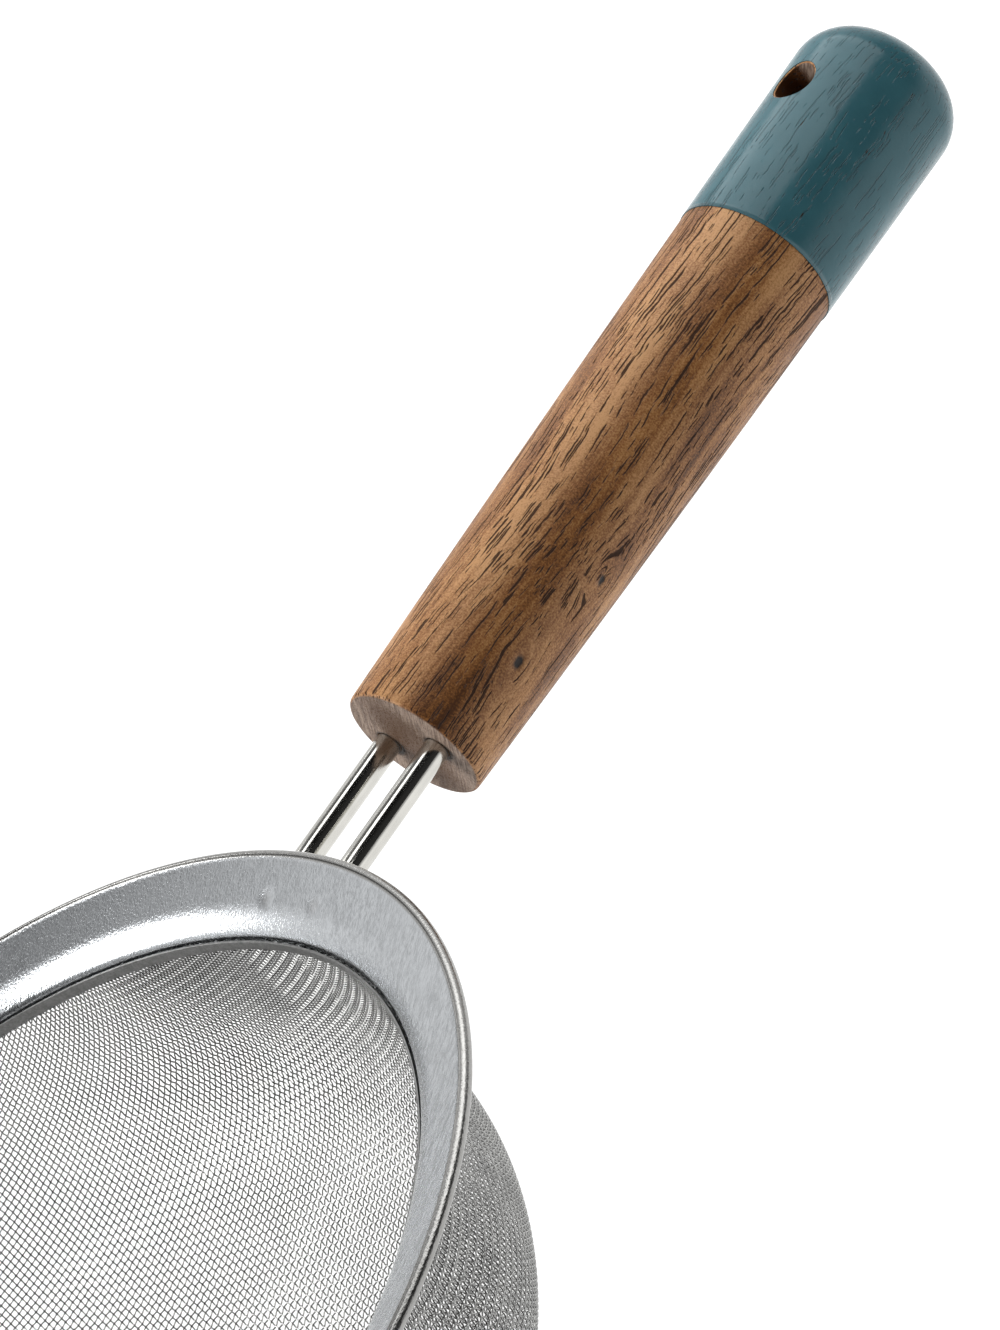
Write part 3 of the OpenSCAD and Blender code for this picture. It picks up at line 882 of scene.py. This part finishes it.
def oiled_wood():
    """The wood: a tan to dark brown ground in bands, fine fibre, pores, two knots, and saw lines on the
    front face."""
    material, tree, shader, place = new_finish("wood")
    grain = shade(tree, "Attribute", attribute_name="grain").outputs["Vector"]
    depth = shade(tree, "Attribute", attribute_name="tone").outputs["Fac"]
    knot = shade(tree, "Attribute", attribute_name="knot").outputs["Fac"]
    fine, speckle = fibre(tree, grain, 3.5, 0.09), clouds(tree, place, 4.0, 1.0)
    for pattern, strength in ((fibre(tree, grain, 55.0, 1.1, 3.0), 0.24), (clouds(tree, grain, 0.12), 0.10),
                              (fine, 0.10), (speckle, 0.24)):
        depth = maths(tree, "ADD", depth, spread(tree, pattern, 0.3, 0.7, -strength, strength))
    stroke = pores(tree, grain)
    in_pore = maths(tree, "MULTIPLY", stroke, 0.92)
    colour = blended(tree, in_pore, wood_ramp(tree, depth), (0.026, 0.009, 0.003, 1))
    colour = blended(tree, spread(tree, knot, 0.25, 0.75), colour, (0.012, 0.005, 0.003, 1))
    normal = shade(tree, "NewGeometry").outputs["True Normal"]
    end_cut = spread(tree, shade(tree, "SeparateXYZ", {0: normal}).outputs[0], -0.85, -0.98)
    end_colour, saw = sawn_end(tree, place, speckle)
    tree.links.new(blended(tree, end_cut, colour, end_colour), shader.inputs["Base Color"])
    shine = maths(tree, "ADD", maths(tree, "MULTIPLY", end_cut, 0.2), maths(tree, "MULTIPLY", stroke, 0.4))
    shine = maths(tree, "ADD", spread(tree, fine, 0.3, 0.7, 0.38, 0.52), shine)
    tree.links.new(shine, shader.inputs["Roughness"])
    shader.inputs["Specular IOR Level"].default_value = 0.35
    height = maths(tree, "SUBTRACT", maths(tree, "MULTIPLY", fine, 0.25), stroke)
    height = maths(tree, "SUBTRACT", height, maths(tree, "MULTIPLY", knot, 2.0))
    saw_height = maths(tree, "MULTIPLY", maths(tree, "MULTIPLY", saw, end_cut), 0.5)
    raised(tree, shader, maths(tree, "ADD", height, saw_height), 0.00012, 0.8)
    return material


def add_wall(points, faces, first, loops, last=None):
    """Adds loops of points to a piece, with the faces that join them to a first loop and, if there is one,
    to a last. Returns the numbers of the last new loop's points."""
    ids, total = [first], sum(len(p) for p in points)
    for loop in loops:
        points.append(loop)
        ids.append(total + np.arange(len(loop)))
        total += len(loop)
    chain = ids if last is None else [*ids, last]
    faces += [strip(a, b) for a, b in zip(chain[:-1], chain[1:])]
    return ids[-1]


front, bores, front_gone = front_surface()
side_along, hole_row = handle_rows(ease, 0.0)
side, hole_mouths, side_gone = side_surface(side_along[1:], hole_row - 1, 0.0, hole_r + hole_lip)
body = np.concatenate([front, side])
skin = body.reshape(-1, 3)
faces = [open_faces(len(body), np.concatenate([front_gone, side_gone]))]
points = [skin, np.array([[0.0, 0, 0], [handle_l, 0, 0]])]
faces.append(tip_fan(np.arange(around)[::-1], len(skin)))
faces.append(tip_fan(np.arange(around) + len(skin) - around, len(skin) + 1))

# The hanging hole's wall runs from the top mouth to the bottom one, over a small rounded lip at each.
top_mouth, low_mouth = (mouth + len(front) * around for mouth in hole_mouths)
turn, low_turn = (np.arctan2(skin[mouth, 0] - hole_along, skin[mouth, 1]) for mouth in (top_mouth, low_mouth))
apart = np.abs(np.angle(np.exp(1j * (turn[:, None] - low_turn[None, :]))))
low_mouth = low_mouth[np.argmin(apart, axis=1)]


def hole_loop(radius, height):
    """One loop of the hanging hole's wall, with a point below each point of the top mouth."""
    return np.stack([hole_along + radius * np.sin(turn), radius * np.cos(turn), height + 0 * turn], -1)


lip_turn = np.array([0.3, 0.65, 1.0]) * np.pi / 2
lip_r, lip_drop = hole_r + hole_lip * (1 - np.sin(lip_turn)), hole_lip * (1 - np.cos(lip_turn))
top = skin[top_mouth, 2]
wall = [hole_loop(r, top - drop) for r, drop in zip(lip_r, lip_drop)]
wall += [hole_loop(hole_r, share * (top - hole_lip)) for share in np.linspace(1, -1, 14)[1:-1]]
wall += [hole_loop(r, drop - top) for r, drop in zip(lip_r[::-1], lip_drop[::-1])]
add_wall(points, faces, top_mouth, wall, low_mouth)

for mouth in bores:
    ring = skin[mouth]
    wall = [ring + np.array([deep, 0, 0]) for deep in (bore_lip, bore_l / 2, bore_l)]
    deepest = add_wall(points, faces, mouth, wall)
    faces.append(tip_fan(deepest, deepest[-1] + 1))
    points.append(np.array([[bore_l, ring[:, 1].mean(), ring[:, 2].mean()]]))
wood_points = np.concatenate(points)
wood_places = on_handle(*wood_points.T)
wood = oiled_wood()
new_piece("wood_handle", wood_places, faces, ["handle"], wood, numbers=wood_numbers(wood_points))

# ---------------------------------------------------------------------------
# THE PAINT
# The rounded end is dipped in a muted blue-green paint with a soft gloss. The coat is thin, so the
# wood's pores still show in it, and it stops short of the hanging hole's drilled edge.
# ---------------------------------------------------------------------------
paint_l, coat, coat_sink = 37.9, 0.12, 0.02
paint_hole_r = 3.4
paint_from = handle_l - paint_l


def soft_gloss_paint():
    """Paint over open-pored wood: one colour with faint clouds, pressed in where the pores are, and a few
    pores left open."""
    material, tree, shader, place = new_finish("paint")
    grain = shade(tree, "Attribute", attribute_name="grain").outputs["Vector"]
    stroke = pores(tree, grain, 0.82)
    cloud = spread(tree, clouds(tree, place, 0.18, 3.0), 0.35, 0.65)
    colour = blended(tree, cloud, (0.034, 0.116, 0.142, 1), (0.041, 0.133, 0.161, 1))
    few = spread(tree, clouds(tree, place, 0.45, 1.0), 0.69, 0.74)
    colour = blended(tree, maths(tree, "MULTIPLY", stroke, 0.35), colour, (0.014, 0.045, 0.055, 1))
    colour = blended(tree, maths(tree, "MULTIPLY", stroke, few), colour, (0.03, 0.02, 0.012, 1))
    tree.links.new(colour, shader.inputs["Base Color"])
    film = clouds(tree, place, 1.6)
    tree.links.new(spread(tree, film, 0.3, 0.7, 0.17, 0.25), shader.inputs["Roughness"])
    shader.inputs["Specular IOR Level"].default_value = 0.3
    raised(tree, shader, maths(tree, "SUBTRACT", maths(tree, "MULTIPLY", film, 0.15), stroke), 0.00012)
    return material


def paint_face(thick):
    """One face of the coat, at a height over the wood, with the dome's tip as its last point."""
    along, row = handle_rows(paint_from, thick)
    face_grid, mouths, inside = side_surface(along, row, thick, paint_hole_r)
    tip = np.array([[handle_l + thick, 0, 0]])
    return np.concatenate([face_grid.reshape(-1, 3), tip]), mouths, inside


outer, outer_mouths, inside = paint_face(coat)
inner, inner_mouths, _ = paint_face(-coat_sink)
size, rows = len(outer), len(inside)
outer_faces = [open_faces(rows, inside), tip_fan(np.arange(around) + (rows - 1) * around, size - 1)]
inner_faces = [f[:, ::-1] + size for f in outer_faces]
edges = [strip(np.arange(around), np.arange(around) + size),
         strip(outer_mouths[0][::-1], inner_mouths[0][::-1] + size),
         strip(outer_mouths[1], inner_mouths[1] + size)]
paint_faces = [*outer_faces, *inner_faces, *edges]
paint_points = np.concatenate([outer, inner])
paint_places, paint_numbers = on_handle(*paint_points.T), wood_numbers(paint_points)
paint = soft_gloss_paint()
new_piece("painted_end", paint_places, paint_faces, ["handle_paint"], paint, numbers=paint_numbers)

# ---------------------------------------------------------------------------
# THE GLUE
# Set adhesive that fills the space between each rod and its bore. Only a thread of it can be seen,
# just inside the front face.
# ---------------------------------------------------------------------------
def set_glue():
    """Cured adhesive: amber, with faint clouds."""
    material, tree, shader, place = new_finish("glue")
    cured = spread(tree, clouds(tree, place, 1.2, 3.0), 0.35, 0.65)
    tint = blended(tree, cured, (0.16, 0.10, 0.05, 1), (0.30, 0.21, 0.11, 1))
    tree.links.new(tint, shader.inputs["Base Color"])
    shader.inputs["Roughness"].default_value = 0.55
    return material


refinish("rod_adhesive", set_glue())

# ---------------------------------------------------------------------------
# THE BOWL REST
# A loop of thinner polished wire opposite the handle, which hooks over the edge of a cup or bowl.
# Its two ends are pressed flat and spot welded under the flange, as the rods are.
# ---------------------------------------------------------------------------
rest_d, rest_flat_w, rest_flat_t, corner_r, rest_gap = 2.5, 4.0, 1.2, 9.0, 0.15
rest_z = -2 * bead_r - rest_gap - rest_d / 2
rest_end = -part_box("bowl_rest")[0].x / MM - rest_d / 2


def rest_points():
    """The loop's rings, from one pressed tip out past the rim, round two corners and back to the other
    tip."""
    corner_x = rest_end - corner_r
    out = np.concatenate([pressed_places(weld_rest_y, rest_flat_w, (12, 5, 12)),
                          np.linspace(rim_r + round_out, corner_x, 4)[1:-1]])
    turn = np.linspace(0, np.pi / 2, 16)
    bend_x, bend_y = corner_x + corner_r * np.sin(turn), weld_rest_y - corner_r + corner_r * np.cos(turn)
    x = -np.concatenate([out, bend_x, bend_x[::-1], out[::-1]])
    y = np.concatenate([0 * out + weld_rest_y, bend_y, -bend_y[::-1], 0 * out - weld_rest_y])
    lead = np.concatenate([0 * out, turn, np.pi - turn[::-1], 0 * out + np.pi])
    sideways = np.stack([-np.sin(lead), np.cos(lead), 0 * lead], -1)
    return pressed_wire(x, y, weld_rest_y, rest_z, sideways, rest_flat_w, rest_flat_t, rest_d, 28)


rest_steel = drawn_steel("rest_steel", (0.66, 0.65, 0.61), 0.12)
loop = rest_points()
loop_faces = [f[:, ::-1] for f in tube_faces(*loop.shape[:2])]
new_piece("bowl_rest_loop", loop, loop_faces, ["bowl_rest"], rest_steel)

# ---------------------------------------------------------------------------
# THE STUDIO
# A white paper floor with a painted glow, an emission that is bright at the back and dims towards the camera,
# a strong soft light at the left behind the object, a weaker strip above the rods, a third over the handle's
# end, pale walls on the far side and a dark room behind the camera.
# ---------------------------------------------------------------------------
reach, floor_z = 9.0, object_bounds()[0].z - 0.001
floor_corners = [(-reach, -reach, floor_z), (reach, -reach, floor_z),
                 (reach, reach, floor_z), (-reach, reach, floor_z)]
floor_mesh = bpy.data.meshes.new("floor")
floor_mesh.from_pydata(floor_corners, [], [(0, 1, 2, 3)])
floor = bpy.data.objects.new("floor", floor_mesh)
bpy.context.scene.collection.objects.link(floor)


def glowing_paper():
    """White paper with a painted glow: its emission lights the scene, weaker towards the camera, and it
    isn't there when it is seen from below.
    """
    material, tree, shader, place = new_finish("paper")
    floor_y = shade(tree, "SeparateXYZ", {0: place}).outputs[1]
    # Painted glow: the floor's emission, weaker towards the camera.
    glow = spread(tree, floor_y, -380.0, -110.0, 0.35, 1.0, "SMOOTHSTEP")
    tree.links.new(glow, shader.inputs["Emission Strength"])
    shader.inputs["Base Color"].default_value = (0.2, 0.2, 0.2, 1)
    shader.inputs["Roughness"].default_value = 0.9
    shader.inputs["Specular IOR Level"].default_value = 0.0
    shader.inputs["Emission Color"].default_value = (1, 1, 1, 1)
    from_below = shade(tree, "NewGeometry").outputs["Backfacing"]
    clear = shade(tree, "BsdfTransparent").outputs[0]
    paper_out = shade(tree, "MixShader", {0: from_below, 1: shader.outputs[0], 2: clear}).outputs[0]
    tree.links.new(paper_out, tree.nodes["Material Output"].inputs["Surface"])
    return material


floor_mesh.materials.append(glowing_paper())


def soft_light(name, spot, aim, width, length, glow):
    """A flat soft light at a spot, turned to aim; glow is how bright its face looks."""
    lamp = bpy.data.lights.new(name, "AREA")
    lamp.shape, lamp.size, lamp.size_y = "RECTANGLE", width, length
    lamp.energy = glow * np.pi * width * length
    holder = bpy.data.objects.new(name, lamp)
    holder.location = spot
    holder.rotation_euler = (Vector(aim) - Vector(spot)).to_track_quat("-Z", "Y").to_euler()
    bpy.context.scene.collection.objects.link(holder)


soft_light("key_light", (-0.60, 0.40, 0.70), (0.08, 0.0, 0.0), 0.5, 0.5, 10.5)
soft_light("overhead_light", (0.16, 0.04, 0.8), (0.16, 0.04, 0.0), 0.72, 0.26, 2.6)
soft_light("end_light", (0.54, 0.15, 0.45), (0.54, 0.15, 0.0), 0.42, 0.90, 2.6)

room = bpy.data.worlds.new("room")
bpy.context.scene.world = room
room.use_nodes = True
sky = room.node_tree
way = shade(sky, "TexCoord").outputs["Generated"]
way_parts = shade(sky, "SeparateXYZ", {0: way})
wall_glow = spread(sky, way_parts.outputs[2], 0.5, 0.84, 0.85, 0.12)
far_side = spread(sky, way_parts.outputs[1], -0.2, 0.3, 0.035, 1.0, "SMOOTHSTEP")
sky.links.new(maths(sky, "MULTIPLY", wall_glow, far_side), sky.nodes["Background"].inputs["Strength"])
sky.nodes["Background"].inputs["Color"].default_value = (1, 1, 1, 1)

# ---------------------------------------------------------------------------
# THE CAMERA
# It looks down on the rim from the side, through a long lens, and is rolled so that the handle runs up
# to the right. Its aim and its distance are shares of the rim's radius.
# ---------------------------------------------------------------------------
look_azimuth, look_down, camera_roll = np.radians([24.52, 28.89, 41.62])
aim = Vector((1.414, -0.148, 0.0)) * rim_r * MM
distance = 7.322 * rim_r * MM
along_floor = np.cos(look_down)
forward = Vector((np.sin(look_azimuth) * along_floor, np.cos(look_azimuth) * along_floor, -np.sin(look_down)))
level = Vector((np.cos(look_azimuth), -np.sin(look_azimuth), 0))
upright = level.cross(forward)
right = level * np.cos(camera_roll) - upright * np.sin(camera_roll)
up = upright * np.cos(camera_roll) + level * np.sin(camera_roll)
camera = bpy.data.objects.new("camera", bpy.data.cameras.new("camera"))
camera.data.lens, camera.data.sensor_width = 120, 36
place = Matrix((right, up, -forward)).transposed().to_4x4()
place.translation = aim - forward * distance
camera.matrix_world = place
bpy.context.scene.collection.objects.link(camera)
bpy.context.scene.camera = camera
bpy.context.scene.view_settings.view_transform = "Standard"
